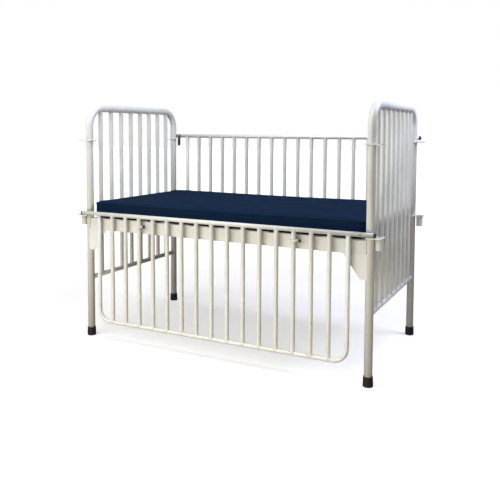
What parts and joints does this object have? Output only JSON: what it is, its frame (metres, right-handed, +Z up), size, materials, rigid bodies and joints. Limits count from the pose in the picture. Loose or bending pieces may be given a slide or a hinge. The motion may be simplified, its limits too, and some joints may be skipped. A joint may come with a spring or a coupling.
{
  "type": "pediatric hospital cot",
  "caption": "Children's hospital cot in bent steel tube with drop side rails, a padded mattress, deck frame, drip pole sockets and rubber feet.",
  "frame": {"origin": "on the floor, under the middle of the cot", "axes": "+X along the cot from the left to the right end frame, +Y from the front rail to the back rail, +Z up"},
  "size_m": [1.512, 0.817, 1.133],
  "materials": {
    "ivory_paint": "satin",
    "black_rubber": "matte",
    "black_plastic": "satin",
    "black_steel": "satin",
    "zinc_steel": "satin",
    "mattress_cover": "satin"
  },
  "bodies": {
    "frame": {"left_end_hoop": "ivory_paint", "left_end_crossbar": "ivory_paint", "left_end_bars": "ivory_paint", "left_deck_channel": "ivory_paint", "right_end_hoop": "ivory_paint", "right_end_crossbar": "ivory_paint", "right_end_bars": "ivory_paint", "right_deck_channel": "ivory_paint", "front_deck_channel": "ivory_paint", "back_deck_channel": "ivory_paint", "deck_slats": "ivory_paint", "gusset_front_left": "ivory_paint", "rest_plate_front_left": "ivory_paint", "pole_socket_front_left": "ivory_paint", "pole_ring_front_left": "ivory_paint", "rail_guide_front_left": "ivory_paint", "foot_cap_front_left": "black_rubber", "gusset_front_right": "ivory_paint", "rest_plate_front_right": "ivory_paint", "pole_socket_front_right": "ivory_paint", "pole_ring_front_right": "ivory_paint", "rail_guide_front_right": "ivory_paint", "foot_cap_front_right": "black_rubber", "gusset_back_left": "ivory_paint", "rest_plate_back_left": "ivory_paint", "pole_socket_back_left": "ivory_paint", "pole_ring_back_left": "ivory_paint", "rail_guide_back_left": "ivory_paint", "foot_cap_back_left": "black_rubber", "gusset_back_right": "ivory_paint", "rest_plate_back_right": "ivory_paint", "pole_socket_back_right": "ivory_paint", "pole_ring_back_right": "ivory_paint", "rail_guide_back_right": "ivory_paint", "foot_cap_back_right": "black_rubber", "mattress": "mattress_cover"},
    "front_rail": {"front_rail_top_tube": "ivory_paint", "front_rail_u_tube": "ivory_paint", "front_rail_bars": "ivory_paint", "front_rail_cap_left": "black_plastic", "front_rail_cap_right": "black_plastic", "front_catch_bolt": "zinc_steel"},
    "front_catch": {"front_rail_catch": "black_steel"},
    "back_rail": {"back_rail_top_tube": "ivory_paint", "back_rail_u_tube": "ivory_paint", "back_rail_bars": "ivory_paint", "back_rail_cap_left": "black_plastic", "back_rail_cap_right": "black_plastic", "back_catch_bolt": "zinc_steel"},
    "back_catch": {"back_rail_catch": "black_steel"},
    "clamp_front_left": {"clamp_screw_front_left": "zinc_steel", "clamp_knob_front_left": "black_plastic"},
    "clamp_front_right": {"clamp_screw_front_right": "zinc_steel", "clamp_knob_front_right": "black_plastic"},
    "clamp_back_left": {"clamp_screw_back_left": "zinc_steel", "clamp_knob_back_left": "black_plastic"},
    "clamp_back_right": {"clamp_screw_back_right": "zinc_steel", "clamp_knob_back_right": "black_plastic"}
  },
  "joints": [
    {"name": "front_rail_slide", "type": "slide", "parent": "frame", "child": "front_rail", "axis": [0, 0, 1], "range_m": [0, 0.369]},
    {"name": "back_rail_slide", "type": "slide", "parent": "frame", "child": "back_rail", "axis": [0, 0, 1], "range_m": [-0.369, 0]},
    {"name": "front_catch_pivot", "type": "hinge", "parent": "front_rail", "child": "front_catch", "pos_m": [0.672, -0.3825, 0.609], "axis": [0, 1, 0], "range_deg": [-90, 0]},
    {"name": "back_catch_pivot", "type": "hinge", "parent": "back_rail", "child": "back_catch", "pos_m": [-0.672, 0.3825, 0.978], "axis": [0, -1, 0], "range_deg": [0, 90]},
    {"name": "clamp_turn_front_left", "type": "hinge", "parent": "frame", "child": "clamp_front_left", "pos_m": [-0.3675, -0.395, 0.564], "axis": [1, 0, 0], "range_deg": [0, 360]},
    {"name": "clamp_turn_front_right", "type": "hinge", "parent": "frame", "child": "clamp_front_right", "pos_m": [0.4075, -0.395, 0.564], "axis": [1, 0, 0], "range_deg": [0, 360]},
    {"name": "clamp_turn_back_left", "type": "hinge", "parent": "frame", "child": "clamp_back_left", "pos_m": [-0.4075, 0.395, 0.564], "axis": [-1, 0, 0], "range_deg": [0, 360]},
    {"name": "clamp_turn_back_right", "type": "hinge", "parent": "frame", "child": "clamp_back_right", "pos_m": [0.3675, 0.395, 0.564], "axis": [-1, 0, 0], "range_deg": [0, 360]}
  ]
}
